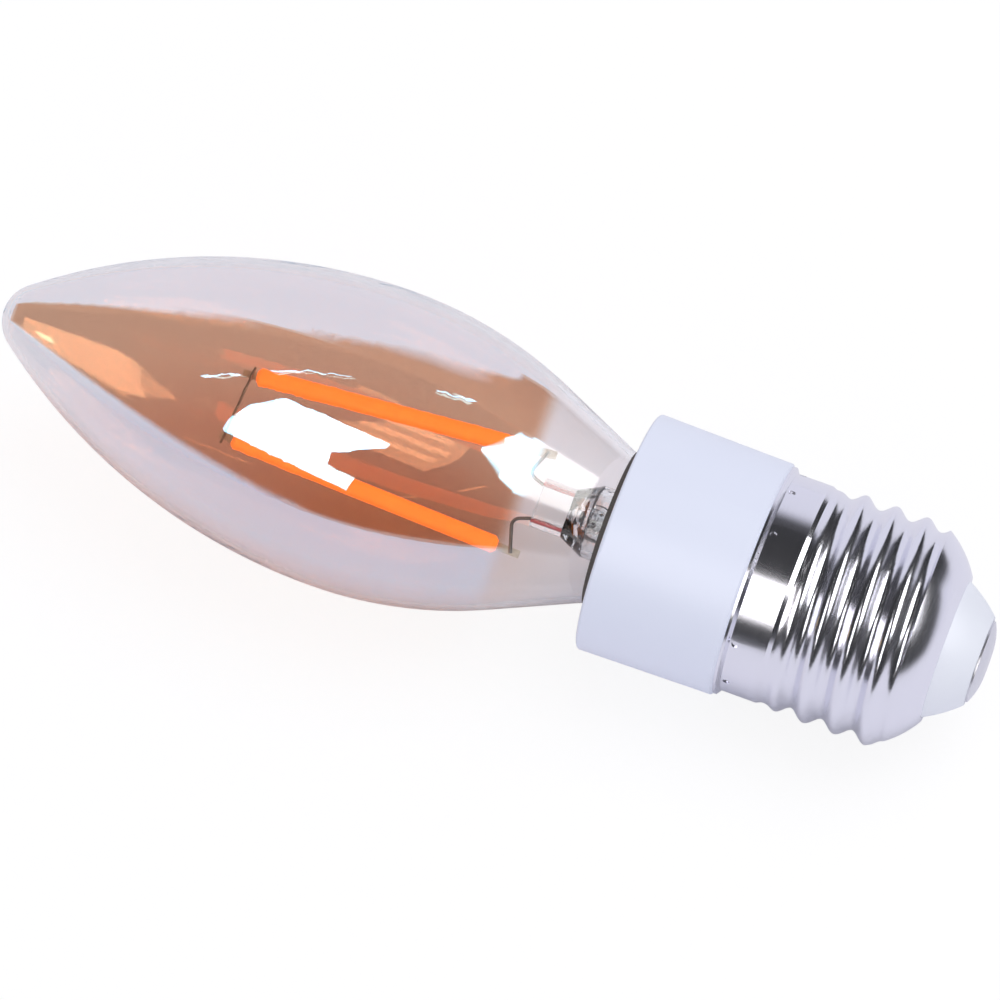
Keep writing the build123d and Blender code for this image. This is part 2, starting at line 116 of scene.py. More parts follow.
# %% [markdown]
# ## The studio: one room for three kinds of ray
#
# The lamp lies on white paper in a white room. The camera should see clean white all round it. Stronger
# lamps could bleach the paper, but they would bleach the lamp as well. So the kind of ray decides what
# it meets. A ray from the camera meets white. A ray that was mirrored or passed through glass meets the
# room's true tone, a pale lilac grey. All other rays meet the light that falls on the lamp.


# %% Choose a shader by the kind of ray
def by_ray(tree, seen, mirrored, other):
    """One shader for camera rays, one for mirror and glass rays, and one for the rest."""
    path = add_node(tree, "ShaderNodeLightPath")
    either = add_node(tree, "ShaderNodeMath", operation="MAXIMUM")
    mirror_mix = add_node(tree, "ShaderNodeMixShader")
    camera_mix = add_node(tree, "ShaderNodeMixShader")
    join(tree, path.outputs["Is Glossy Ray"], either.inputs[0])
    join(tree, path.outputs["Is Transmission Ray"], either.inputs[1])
    join(tree, either.outputs[0], mirror_mix.inputs["Fac"])
    join(tree, other, mirror_mix.inputs[1])
    join(tree, mirrored, mirror_mix.inputs[2])
    join(tree, path.outputs["Is Camera Ray"], camera_mix.inputs["Fac"])
    join(tree, mirror_mix.outputs[0], camera_mix.inputs[1])
    join(tree, seen, camera_mix.inputs[2])
    return camera_mix.outputs[0]


# %% Surrounding light
white = (1, 1, 1, 1)
room_tone = (0.82, 0.82, 0.905, 1)
ambient_tone = (0.93, 0.95, 1.0, 1)
ambient_strength = 0.64

world = bpy.data.worlds.new("studio")
bpy.context.scene.world = world
world.use_nodes = True
world_tree = world.node_tree
world_tree.nodes.clear()


def room_light(colour, strength):
    """A background of one colour."""
    light = add_node(world_tree, "ShaderNodeBackground")
    light.inputs["Color"].default_value = colour
    light.inputs["Strength"].default_value = strength
    return light.outputs[0]


world_light = by_ray(
    world_tree,
    room_light(white, 1.0),
    room_light(room_tone, 1.0),
    room_light(ambient_tone, ambient_strength),
)
world_out = add_node(world_tree, "ShaderNodeOutputWorld")
join(world_tree, world_light, world_out.inputs["Surface"])
print("surrounding light", ambient_strength)

# %% [markdown]
# ## The studio: paper floor
#
# The paper is a plain disc under the lamp. For the camera it glows white and keeps a small share of
# its shadow. In a mirror and through the glass it keeps nearly all of it, because light that came through
# the bulb lies amber on the paper, and that shade gives the glass its depth.

# %% Paper
seen_shadow = 0.16
mirrored_shadow = 0.97
seen_glow = (1.04, 1.04, 1.04, 1)
paper, paper_tree, paper_shader = principled(
    "paper", {"Base Color": (0.84, 0.83, 0.885, 1), "Roughness": 0.9}
)


def paper_light(colour, shadow_share):
    """Paper that keeps a share of its shadows and glows for the rest."""
    glow = add_node(paper_tree, "ShaderNodeEmission")
    glow.inputs["Color"].default_value = colour
    blend = add_node(paper_tree, "ShaderNodeMixShader")
    blend.inputs["Fac"].default_value = 1 - shadow_share
    join(paper_tree, paper_shader.outputs[0], blend.inputs[1])
    join(paper_tree, glow.outputs[0], blend.inputs[2])
    return blend.outputs[0]


paper_look = by_ray(
    paper_tree,
    paper_light(seen_glow, seen_shadow),
    paper_light(room_tone, mirrored_shadow),
    paper_shader.outputs[0],
)
join(paper_tree, paper_look, paper_tree.nodes["Material Output"].inputs["Surface"])
print("paper keeps", seen_shadow, "of its shadow for the camera")

# %% Floor
floor_radius = 0.20

floor_mesh = bpy.data.meshes.new("floor")
floor_form = bmesh.new()
bmesh.ops.create_circle(floor_form, cap_ends=True, segments=96, radius=floor_radius)
floor_form.to_mesh(floor_mesh)
floor_form.free()
floor_mesh.materials.append(paper)
floor = bpy.data.objects.new("floor", floor_mesh)
bpy.context.scene.collection.objects.link(floor)
print("floor", 2 * floor_radius, "m wide")

# %% [markdown]
# ## The studio: what the lamp mirrors
#
# The coated glass and the nickel show the camera's side of the room: a dark space with soft boxes and
# thin tubes of light in it. A picture wrapped round the whole scene could stand for that room, but it
# couldn't be changed piece by piece. So each thing is a card on a sphere round the lamp. Its corners are
# two angles, seen from the lamp: along its axis and across it, both counted from the camera's direction.
# The camera itself doesn't see the cards, and they throw no light or shadow.

# %% Directions around the camera
axis_slant = radians(20.0)
image_right = Vector((cos(view_turn), sin(view_turn), 0))
image_up = to_camera.cross(image_right)
along_lamp = image_right * cos(axis_slant) - image_up * sin(axis_slant)
across_lamp = image_right * sin(axis_slant) + image_up * cos(axis_slant)
card_centre = Vector((0, 0, 0.017))
print("along the lamp, as the camera sees it:", [round(v, 3) for v in along_lamp])


def sky_point(angles, distance, centre):
    """The point at two angles, in degrees, and a distance from a centre."""
    turn = radians(angles[0])
    rise = radians(angles[1])
    level = to_camera * cos(turn) + along_lamp * sin(turn)
    return centre + distance * (level * cos(rise) + across_lamp * sin(rise))


# %% A glowing card material
def card_material(name, colour, strength):
    """A glowing surface that is clear where its card fades out."""
    material = bpy.data.materials.new(name)
    material.use_nodes = True
    tree = material.node_tree
    tree.nodes.clear()
    glow = add_node(tree, "ShaderNodeEmission")
    glow.inputs["Color"].default_value = colour
    glow.inputs["Strength"].default_value = strength
    solid = add_node(tree, "ShaderNodeAttribute", attribute_name="solid")
    clear = add_node(tree, "ShaderNodeBsdfTransparent")
    blend = add_node(tree, "ShaderNodeMixShader")
    out = add_node(tree, "ShaderNodeOutputMaterial")
    join(tree, solid.outputs["Fac"], blend.inputs["Fac"])
    join(tree, clear.outputs[0], blend.inputs[1])
    join(tree, glow.outputs[0], blend.inputs[2])
    join(tree, blend.outputs[0], out.inputs["Surface"])
    return material


# %% A card on the sphere
span_steps = 6
height_steps = 12


def studio_card(name, edges, distance, material, centre=card_centre, fade=0.0):
    """A card through a row of edges, low corner and high corner, whose two long sides may fade out."""
    spans = len(edges) - 1
    mesh = bpy.data.meshes.new(name)
    form = bmesh.new()
    bmesh.ops.create_grid(form, x_segments=span_steps * spans, y_segments=height_steps, size=1.0)
    solid = []
    for vert in form.verts:
        inward = 1 - abs(vert.co.y)
        solid.append(min(1.0, inward / fade) if fade else 1.0)
        along = (vert.co.x + 1) / 2 * spans
        first = min(int(along), spans - 1)
        low = Vector(edges[first][0]).lerp(Vector(edges[first + 1][0]), along - first)
        high = Vector(edges[first][1]).lerp(Vector(edges[first + 1][1]), along - first)
        vert.co = sky_point(low.lerp(high, (vert.co.y + 1) / 2), distance, centre)
    form.to_mesh(mesh)
    form.free()
    mesh.attributes.new("solid", "FLOAT", "POINT").data.foreach_set("value", solid)
    mesh.materials.append(material)
    card = bpy.data.objects.new(name, mesh)
    card.visible_camera = False
    card.visible_diffuse = False
    card.visible_shadow = False
    bpy.context.scene.collection.objects.link(card)


# %% [markdown]
# ## The studio: dark room
#
# One large dark card stands for the room behind the camera. Where the glass mirrors it, the amber shows
# clear, and where the glass mirrors the pale room beyond its edge, the glass looks milky. In the
# photograph one passes softly into the other, so the card's long sides fade out.

# %% Dark room
dark_distance = 1.10
soft_edge = 1 / 6
dark_room = card_material("dark_room", (0.95, 0.96, 1.0, 1), 0.036)
dark_edges = [
    ((-100, -14), (-100, 22)),
    ((-80, -34), (-80, 37)),
    ((-62, -53), (-62, 53)),
    ((-48, -66), (-48, 67)),
    ((-30, -76), (-30, 81)),
    ((0, -78), (0, 86)),
    ((30, -74), (30, 86)),
    ((50, -63), (50, 86)),
    ((70, -35), (70, 85)),
    ((79, -30), (79, 84)),
    ((86, 9), (86, 83)),
    ((92, 31), (92, 82)),
    ((120, 36), (120, 77)),
    ((150, 48), (150, 60)),
]
studio_card("dark_side", dark_edges, dark_distance, dark_room, fade=soft_edge)
print("dark card over", len(dark_edges), "edges")

# %% [markdown]
# ## The studio: soft boxes
#
# A soft box is a lamp behind white cloth. The left one has four brighter bars. On the front of the glass
# they are lost in white, but the back of the glass mirrors them as faint streaks between the filaments.
# A dark stand cuts a notch out of this box. It stands close to the bulb, so that only the bulb mirrors it
# there, and not the cap. The right box shows at the neck. It is brighter in its half towards the cap.

# %% Left soft box
box_distance = 1.00
soft_box = card_material("soft_box", (1.0, 0.97, 0.94, 1), 3.0)
left_box = [
    ((-43, -28.2), (-43, -26.8)),
    ((-37, -30.5), (-36, -5)),
    ((-30, -33), (-29.5, 8)),
    ((-19, -37.5), (-19, 6)),
    ((-11.5, -40), (-3, 3)),
]
studio_card("soft_box_left", left_box, box_distance, soft_box)
print("left box over", len(left_box), "edges")

# %% Bars of the left box
bright_distance = 0.99
bright_box = card_material("bright_box", (1.0, 0.99, 0.97, 1), 6.0)
bar_height = 4
bar_drop = 2
bar_lean = 0.5
bar_end_low = -13
bar_end_high = -11
bar_corners = ((-29, -31), (-36.5, -22), (-35, -13), (-31.5, -4))
for number, (start, low) in enumerate(bar_corners, 1):
    bar_start = ((start, low), (start + bar_lean, low + bar_height))
    bar_end = ((bar_end_low, low - bar_drop), (bar_end_high, low - bar_drop + bar_height))
    studio_card(f"soft_box_bar_{number}", [bar_start, bar_end], bright_distance, bright_box)
print("bars in the left box:", len(bar_corners))

# %% Dark stand in front of it
stand_distance = 0.15
notch_along = 0.0145
notch_front = 0.015
stand_centre = card_centre - notch_along * along_lamp + notch_front * to_camera
stand_edges = [
    ((-18.6, -25.5), (-18.4, -21)),
    ((-15, -30.3), (-12.2, -11.5)),
    ((-7, -31.5), (0, 1)),
]
studio_card("stand_in_front", stand_edges, stand_distance, dark_room, stand_centre)
print("stand", stand_distance, "m from the bulb")

# %% Right soft box
cloth_fade = 0.5
right_box = [((22, 23), (22.5, 26)), ((28, 7), (32, 40)), ((33.5, -2), (43, 49))]
neck_box = [((28, 8), (32, 40)), ((33.5, -2), (43, 49)), ((56, -2), (66, 43))]
studio_card("soft_box_right", right_box, box_distance, soft_box, fade=cloth_fade)
studio_card("soft_box_neck", neck_box, bright_distance, bright_box, fade=soft_edge)
print("right box in two halves")

# %% [markdown]
# ## The studio: small lights
#
# A warm lamp far to the left gives the bright point at the tip of the glass. Three thin tubes give the
# fine white lines above the filaments. They are so thin that the waver of the glass breaks them up.

# %% Small lights
spot_distance = 0.98
far_lamp = card_material("far_lamp", (1.0, 0.7, 0.35, 1), 1.6)
far_edges = [((-89, -16), (-89, -11)), ((-84.5, -16), (-84.5, -11))]
studio_card("far_spot", far_edges, spot_distance, far_lamp)

tube_distance = 0.95
light_tube = card_material("light_tube", (1.0, 0.98, 0.94, 1), 3.0)
tubes = {
    "tube_low": [((-47.5, 2.5), (-46.5, 2.5)), ((-41.5, 13.5), (-40.5, 13.5))],
    "tube_middle": [((-36.7, 23), (-35.7, 23)), ((-30.8, 32), (-29.8, 32)), ((-22.5, 39), (-21.5, 39))],
    "tube_high": [((6.5, 53.5), (6.5, 54.5)), ((18.4, 54.8), (18.4, 55.8)), ((28, 56), (28, 57))],
}
for tube, tube_edges in tubes.items():
    studio_card(tube, tube_edges, tube_distance, light_tube)
print("tubes:", len(tubes))

# %% [markdown]
# ## The studio: key and fill
#
# Two large round lamps give the white collar its gentle shade. The key hangs almost straight above, so
# that the paper behind the glass is bright. The weaker fill stands low on the camera's side and lifts the
# collar's lower edge. Both are hidden from mirrors, because the cards already stand for the lights there.

# %% Key and fill
lamp_width = 0.9
lamp_distance = 1.1
key_energy = 5.0
fill_energy = 1.7


def soft_lamp(name, direction, energy):
    """A round soft lamp that shines on the bulb from a direction and isn't seen in mirrors."""
    data = bpy.data.lights.new(name, "AREA")
    data.shape = "DISK"
    data.size = lamp_width
    data.energy = energy
    data.color = (1.0, 0.99, 0.97)
    lamp = bpy.data.objects.new(name, data)
    aim = direction.normalized()
    lamp.location = card_centre + aim * lamp_distance
    lamp.rotation_euler = aim.to_track_quat("Z", "Y").to_euler()
    lamp.visible_glossy = False
    lamp.visible_transmission = False
    bpy.context.scene.collection.objects.link(lamp)
    print(name, "from", [round(v, 2) for v in aim])


soft_lamp("key", to_camera + 0.1 * along_lamp + 0.9 * across_lamp, key_energy)
soft_lamp("fill", to_camera + 0.2 * along_lamp - 0.9 * across_lamp, fill_energy)


# %% [markdown]
# ## Putting a finish on its pieces
#
# The record lists a finish for every solid, by a slot name. Each finish below is made once and put on
# all the solids of its slot, so that a new piece in the same slot would be dressed with the others.


# %% Dress the solids of a slot
def dress(material, slot):
    """Give a material to every solid that the record lists under a slot."""
    wearers = [s["node"] for s in frame["record"]["subparts"] if s["material_slot"] == slot]
    for name in wearers:
        nodes[name].material_slots[0].material = material
    print(slot, "on", len(wearers))


# %% [markdown]
# ## Amber glass
#
# The bulb is clear glass with a very thin coat. From outside the coat throws back bluish light, so what
# passes is amber. Coloured glass would give the amber but not the milky mirror. Plain glass mirrors a
# twenty-fifth of the light, and the specular tint multiplies that: a little for red and most for blue.
# What isn't mirrored passes, so the amber follows by itself. Positions on the lamp are needed for this in
# millimetres, with the lamp upright, and a Mapping node turns Object coordinates into them.

# %% Start the amber glass
millimetre = (0.001, 0.001, 0.001)
lamp_turn = lamp_frame.to_euler()
glass_index = 1.5

amber, amber_tree, amber_shader = principled(
    "amber_glass", {"Roughness": 0.0, "IOR": glass_index, "Transmission Weight": 1.0}
)
amber_where = add_node(amber_tree, "ShaderNodeTexCoord")
amber_place = add_node(amber_tree, "ShaderNodeMapping", vector_type="TEXTURE")
amber_place.inputs["Location"].default_value = lamp_foot
amber_place.inputs["Rotation"].default_value = lamp_turn
amber_place.inputs["Scale"].default_value = millimetre
join(amber_tree, amber_where.outputs["Object"], amber_place.inputs["Vector"])
print("index of the glass", glass_index)

# %% [markdown]
# ### Where the coat is
#
# The coat ends softly above the neck and leaves plain glass there. Its edge is a little askew, as when a
# bulb is held at a slant while it is coated. A dot product with a slanted direction gives the height that
# such an edge follows.

# %% Edge of the coat
coat_low = 54.6
coat_full = 57.2
coat_slant = (0.113, -0.067, 1.0)

coat_height = add_node(amber_tree, "ShaderNodeVectorMath", operation="DOT_PRODUCT")
coat_height.inputs[1].default_value = coat_slant
coat_edge = add_node(amber_tree, "ShaderNodeMapRange", interpolation_type="SMOOTHSTEP")
coat_edge.inputs["From Min"].default_value = coat_low
coat_edge.inputs["From Max"].default_value = coat_full
join(amber_tree, amber_place.outputs["Vector"], coat_height.inputs[0])
join(amber_tree, coat_height.outputs["Value"], coat_edge.inputs["Value"])
coated = coat_edge.outputs["Result"]
print("coat from", coat_low, "to", coat_full, "mm above the contact")

# %% [markdown]
# ### Which side of the coat
#
# From the hollow inside, the coat mirrors only a little more than plain glass. A texture coordinate's
# normal is turned towards the side from which a ray arrives. Where it points away from the axis, the ray
# comes from outside, and where it points to the axis, from the hollow.

# %% Side of the coat
facing = add_node(amber_tree, "ShaderNodeMapping", vector_type="TEXTURE")
facing.inputs["Rotation"].default_value = lamp_turn
outward = add_node(amber_tree, "ShaderNodeVectorMath", operation="MULTIPLY")
outward.inputs[1].default_value = (1, 1, 0)
agree = add_node(amber_tree, "ShaderNodeVectorMath", operation="DOT_PRODUCT")
from_outside = add_node(amber_tree, "ShaderNodeMath", operation="GREATER_THAN")
from_outside.inputs[1].default_value = 0.0
join(amber_tree, amber_where.outputs["Normal"], facing.inputs["Vector"])
join(amber_tree, amber_place.outputs["Vector"], outward.inputs[0])
join(amber_tree, facing.outputs["Vector"], agree.inputs[0])
join(amber_tree, outward.outputs["Vector"], agree.inputs[1])
join(amber_tree, agree.outputs["Value"], from_outside.inputs[0])
print("amber glass has", len(amber_tree.nodes), "nodes so far")


# %% Mix two colours by a mask
def mix_colours(tree, mask, first, second):
    """A colour that goes from one to another with a mask. Each is a colour or a socket."""
    mix = add_node(tree, "ShaderNodeMix", data_type="RGBA")
    join(tree, mask, mix.inputs["Factor"])
    for side, colour in (("A", first), ("B", second)):
        if isinstance(colour, bpy.types.NodeSocket):
            join(tree, colour, mix.inputs[side])
        else:
            mix.inputs[side].default_value = (*colour, 1)
    return mix.outputs["Result"]


# %% Mirror and colour of the coat
plain_glass = (1.0, 1.0, 1.0)
plain_mirror = ((glass_index - 1) / (glass_index + 1)) ** 2
outside_mirror = (0.125, 0.30, 0.42)
inside_mirror = (0.080, 0.068, 0.055)
coat_pass = (0.94, 0.875, 0.82)

inside_tint = [share / plain_mirror for share in inside_mirror]
outside_tint = [share / plain_mirror for share in outside_mirror]
side_tint = mix_colours(amber_tree, from_outside.outputs[0], inside_tint, outside_tint)
coat_tint = mix_colours(amber_tree, coated, plain_glass, side_tint)
coat_colour = mix_colours(amber_tree, coated, plain_glass, coat_pass)
join(amber_tree, coat_tint, amber_shader.inputs["Specular Tint"])
join(amber_tree, coat_colour, amber_shader.inputs["Base Color"])
print("coat mirrors", outside_mirror, "from outside")

# %% [markdown]
# ### Blown glass
#
# Blown glass is never quite even, and mirrored edges on it waver. A slow noise as a bump gives that. The
# solid keeps its smooth shape.

# %% Waver of blown glass
waver = add_node(amber_tree, "ShaderNodeTexNoise")
waver.inputs["Scale"].default_value = 0.07
waver.inputs["Detail"].default_value = 1.0
waver_bump = add_node(amber_tree, "ShaderNodeBump")
waver_bump.inputs["Strength"].default_value = 0.15
waver_bump.inputs["Distance"].default_value = 0.0004
join(amber_tree, amber_place.outputs["Vector"], waver.inputs["Vector"])
join(amber_tree, waver.outputs["Fac"], waver_bump.inputs["Height"])
join(amber_tree, waver_bump.outputs["Normal"], amber_shader.inputs["Normal"])
print("amber glass has", len(amber_tree.nodes), "nodes with its waver")

# %% [markdown]
# ### Light through the glass
#
# Glass bends light, and a path tracer hardly ever finds a lamp through two bent walls. So a ray that asks
# for a lamp passes straight through, tinted. Then light reaches the filaments, and the paper below the
# bulb gets its amber shade.


# %% Let lamp light through
def let_light_through(tree, shader, tint):
    """Swap the shader for a tinted clear one where a lamp's ray passes. The tint may vary."""
    path = add_node(tree, "ShaderNodeLightPath")
    clear = add_node(tree, "ShaderNodeBsdfTransparent")
    if isinstance(tint, bpy.types.NodeSocket):
        join(tree, tint, clear.inputs["Color"])
    else:
        clear.inputs["Color"].default_value = (*tint, 1)
    choice = add_node(tree, "ShaderNodeMixShader")
    join(tree, path.outputs["Is Shadow Ray"], choice.inputs["Fac"])
    join(tree, shader.outputs[0], choice.inputs[1])
    join(tree, clear.outputs[0], choice.inputs[2])
    join(tree, choice.outputs[0], tree.nodes["Material Output"].inputs["Surface"])


amber_shade = (0.86, 0.64, 0.42)
neck_shade = (0.94, 0.95, 0.97)
glass_shade = mix_colours(amber_tree, coated, neck_shade, amber_shade)
let_light_through(amber_tree, amber_shader, glass_shade)
dress(amber, "amber_glass")

# %% [markdown]
# ## Shared effect: a place on the lamp
#
# Several finishes need to know where a point lies on the lamp: how far along the axis and how far round.
# This group turns Object coordinates into those two numbers, in millimetres and in turns, and into an
# upright position, with a Mapping node that undoes the lamp's resting tilt.

# %% Build the place group
place = bpy.data.node_groups.new("lamp_place", "ShaderNodeTree")
for socket in ("Height", "Turn"):
    place.interface.new_socket(name=socket, in_out="OUTPUT", socket_type="NodeSocketFloat")
place.interface.new_socket(name="Position", in_out="OUTPUT", socket_type="NodeSocketVector")
place_out = add_node(place, "NodeGroupOutput")
place_in = add_node(place, "ShaderNodeTexCoord")
place_turn = add_node(place, "ShaderNodeMapping", vector_type="TEXTURE")
place_turn.inputs["Location"].default_value = lamp_foot
place_turn.inputs["Rotation"].default_value = lamp_turn
place_turn.inputs["Scale"].default_value = millimetre
place_axes = add_node(place, "ShaderNodeSeparateXYZ")
place_angle = add_node(place, "ShaderNodeMath", operation="ARCTAN2")
place_round = add_node(place, "ShaderNodeMath", operation="DIVIDE")
place_round.inputs[1].default_value = 2 * pi
join(place, place_in.outputs["Object"], place_turn.inputs["Vector"])
join(place, place_turn.outputs["Vector"], place_axes.inputs[0])
join(place, place_axes.outputs["Y"], place_angle.inputs[0])
join(place, place_axes.outputs["X"], place_angle.inputs[1])
join(place, place_angle.outputs[0], place_round.inputs[0])
join(place, place_axes.outputs["Z"], place_out.inputs["Height"])
join(place, place_round.outputs[0], place_out.inputs["Turn"])
join(place, place_turn.outputs["Vector"], place_out.inputs["Position"])
print("place group has", len(place.nodes), "nodes")

# %% [markdown]
# ## Clear stem glass
#
# The stem is plain glass, pinched flat around the leads. Pinching leaves small waves, which a bump
# gives.

# %% Make the stem glass
clear_glass, clear_tree, clear_shader = principled(
    "clear_glass",
    {
        "Base Color": (0.97, 0.98, 0.98, 1),
        "Roughness": 0.02,
        "IOR": glass_index,
        "Transmission Weight": 1.0,
    },
)
stem_shade = (0.95, 0.96, 0.96)
pinch_place = add_node(clear_tree, "ShaderNodeGroup", node_tree=place)
pinch_wave = add_node(clear_tree, "ShaderNodeTexNoise")
pinch_wave.inputs["Scale"].default_value = 0.7
pinch_wave.inputs["Detail"].default_value = 2.0
pinch_bump = add_node(clear_tree, "ShaderNodeBump")
pinch_bump.inputs["Strength"].default_value = 0.35
pinch_bump.inputs["Distance"].default_value = 0.0003
join(clear_tree, pinch_place.outputs["Position"], pinch_wave.inputs["Vector"])
join(clear_tree, pinch_wave.outputs["Fac"], pinch_bump.inputs["Height"])
join(clear_tree, pinch_bump.outputs["Normal"], clear_shader.inputs["Normal"])
let_light_through(clear_tree, clear_shader, stem_shade)
dress(clear_glass, "clear_glass")

# %% [markdown]
# ## Shared effect: surface grain
#
# No real surface is one flat colour. This group gives two close colours that drift into each other,
# a roughness that drifts with them and a fine height for a bump. Each finish sets its own size and
# amount.

# %% Sockets of the grain group
grain = bpy.data.node_groups.new("surface_grain", "ShaderNodeTree")
grain_inputs = {
    "Size": "NodeSocketFloat",
    "Colour One": "NodeSocketColor",
    "Colour Two": "NodeSocketColor",
    "Smooth": "NodeSocketFloat",
    "Rough": "NodeSocketFloat",
}
grain_outputs = {
    "Color": "NodeSocketColor",
    "Roughness": "NodeSocketFloat",
    "Height": "NodeSocketFloat",
}
for socket, kind in grain_inputs.items():
    grain.interface.new_socket(name=socket, in_out="INPUT", socket_type=kind)
for socket, kind in grain_outputs.items():
    grain.interface.new_socket(name=socket, in_out="OUTPUT", socket_type=kind)
print("grain has", len(grain_inputs), "settings")

# %% Nodes of the grain group
fine_share = 14.0

grain_in = add_node(grain, "NodeGroupInput")
grain_out = add_node(grain, "NodeGroupOutput")
grain_place = add_node(grain, "ShaderNodeGroup", node_tree=place)
grain_drift = add_node(grain, "ShaderNodeTexNoise")
grain_drift.inputs["Detail"].default_value = 3.0
grain_fine = add_node(grain, "ShaderNodeTexNoise")
grain_fine.inputs["Detail"].default_value = 2.0
grain_finer = add_node(grain, "ShaderNodeMath", operation="MULTIPLY")
grain_finer.inputs[1].default_value = fine_share
grain_colour = add_node(grain, "ShaderNodeMix", data_type="RGBA")
grain_rough = add_node(grain, "ShaderNodeMapRange")
join(grain, grain_place.outputs["Position"], grain_drift.inputs["Vector"])
join(grain, grain_place.outputs["Position"], grain_fine.inputs["Vector"])
join(grain, grain_in.outputs["Size"], grain_drift.inputs["Scale"])
join(grain, grain_in.outputs["Size"], grain_finer.inputs[0])
join(grain, grain_finer.outputs[0], grain_fine.inputs["Scale"])
join(grain, grain_drift.outputs["Fac"], grain_colour.inputs["Factor"])
join(grain, grain_in.outputs["Colour One"], grain_colour.inputs["A"])
join(grain, grain_in.outputs["Colour Two"], grain_colour.inputs["B"])
join(grain, grain_drift.outputs["Fac"], grain_rough.inputs["Value"])
join(grain, grain_in.outputs["Smooth"], grain_rough.inputs["To Min"])
join(grain, grain_in.outputs["Rough"], grain_rough.inputs["To Max"])
join(grain, grain_colour.outputs["Result"], grain_out.inputs["Color"])
join(grain, grain_rough.outputs["Result"], grain_out.inputs["Roughness"])
join(grain, grain_fine.outputs["Fac"], grain_out.inputs["Height"])
print("grain group has", len(grain.nodes), "nodes")


# %% Grain in a material
def grained(name, settings, size, colours, rough, bump=0.0):
    """A Principled material with the grain group on its colour, roughness and, if asked, its bump."""
    material, tree, shader = principled(name, settings)
    group = add_node(tree, "ShaderNodeGroup", node_tree=grain)
    group.inputs["Size"].default_value = size
    group.inputs["Colour One"].default_value = (*colours[0], 1)
    group.inputs["Colour Two"].default_value = (*colours[1], 1)
    group.inputs["Smooth"].default_value = rough[0]
    group.inputs["Rough"].default_value = rough[1]
    join(tree, group.outputs["Color"], shader.inputs["Base Color"])
    join(tree, group.outputs["Roughness"], shader.inputs["Roughness"])
    if bump:
        relief = add_node(tree, "ShaderNodeBump")
        relief.inputs["Strength"].default_value = bump
        relief.inputs["Distance"].default_value = 0.0001
        join(tree, group.outputs["Height"], relief.inputs["Height"])
        join(tree, relief.outputs["Normal"], shader.inputs["Normal"])
    return material


# %% [markdown]
# ## Phosphor filaments
#
# Each filament is a row of tiny chips under a soft orange coat. The coat is slightly translucent. A
# redder orange emission makes the filaments glow although the lamp is off: painted light that stands in
# for the light which hardly reaches them through the two walls of the glass. A gentle wave along the
# strip marks the chips underneath.

# %% Make the phosphor
chip_pitch = 1.15
phosphor = grained(
    "phosphor",
    {
        # painted glow: the lamp is off, and this emission stands in for light reaching the filaments
        "Emission Color": (1.0, 0.21, 0.02, 1),
        "Emission Strength": 1.1,
        "Coat Weight": 0.15,
        "Coat Roughness": 0.3,
    },
    0.8,
    ((1.0, 0.44, 0.07), (1.0, 0.50, 0.10)),
    (0.45, 0.6),
)
phosphor_tree, phosphor_shader = opened(phosphor)
chip_place = add_node(phosphor_tree, "ShaderNodeGroup", node_tree=place)
chip_wave = add_node(phosphor_tree, "ShaderNodeMath", operation="SINE")
chip_count = add_node(phosphor_tree, "ShaderNodeMath", operation="MULTIPLY")
chip_count.inputs[1].default_value = 2 * pi / chip_pitch
chip_bump = add_node(phosphor_tree, "ShaderNodeBump")
chip_bump.inputs["Strength"].default_value = 0.3
chip_bump.inputs["Distance"].default_value = 0.00004
join(phosphor_tree, chip_place.outputs["Height"], chip_count.inputs[0])
join(phosphor_tree, chip_count.outputs[0], chip_wave.inputs[0])
join(phosphor_tree, chip_wave.outputs[0], chip_bump.inputs["Height"])
join(phosphor_tree, chip_bump.outputs["Normal"], phosphor_shader.inputs["Normal"])
dress(phosphor, "phosphor")

# %% [markdown]
# ## Lead wires
#
# The leads are dull nickel wire. Where they pass through the pinch they change to a copper-clad wire
# that glass can grip, which looks pink inside the glass. The top of the pinch is the top of the stem, so
# its height is measured on the solid.

# %% Measure the pinch
pinch_height = 3.7
stem_points = [lamp_frame.inverted() @ v.co for v in nodes["glass_stem"].data.vertices]
pinch_top = 1000 * max(point.z for point in stem_points)
pinch_low = pinch_top - pinch_height
print("pinch from", round(pinch_low, 2), "to", round(pinch_top, 2), "mm")

# %% Make the leads
copper_clad = (0.80, 0.22, 0.24)
lead = grained(
    "lead_wire",
    {"Metallic": 1.0},
    1.5,
    ((0.20, 0.19, 0.19), (0.30, 0.29, 0.29)),
    (0.35, 0.5),
)
lead_tree, lead_shader = opened(lead)
lead_place = add_node(lead_tree, "ShaderNodeGroup", node_tree=place)
above_low = add_node(lead_tree, "ShaderNodeMath", operation="GREATER_THAN")
above_low.inputs[1].default_value = pinch_low
below_top = add_node(lead_tree, "ShaderNodeMath", operation="LESS_THAN")
below_top.inputs[1].default_value = pinch_top
in_pinch = add_node(lead_tree, "ShaderNodeMath", operation="MULTIPLY")
join(lead_tree, lead_place.outputs["Height"], above_low.inputs[0])
join(lead_tree, lead_place.outputs["Height"], below_top.inputs[0])
join(lead_tree, above_low.outputs[0], in_pinch.inputs[0])
join(lead_tree, below_top.outputs[0], in_pinch.inputs[1])
bare_colour = lead_shader.inputs["Base Color"].links[0].from_socket
lead_colour = mix_colours(lead_tree, in_pinch.outputs[0], bare_colour, copper_clad)
join(lead_tree, lead_colour, lead_shader.inputs["Base Color"])
dress(lead, "lead_wire")

# %% [markdown]
# ## White plastic
#
# The collar and the cap's insulator are moulded white, with a satin skin. Their white leans to blue. It
# is kept below full white, so that their round shape still shows in the light.

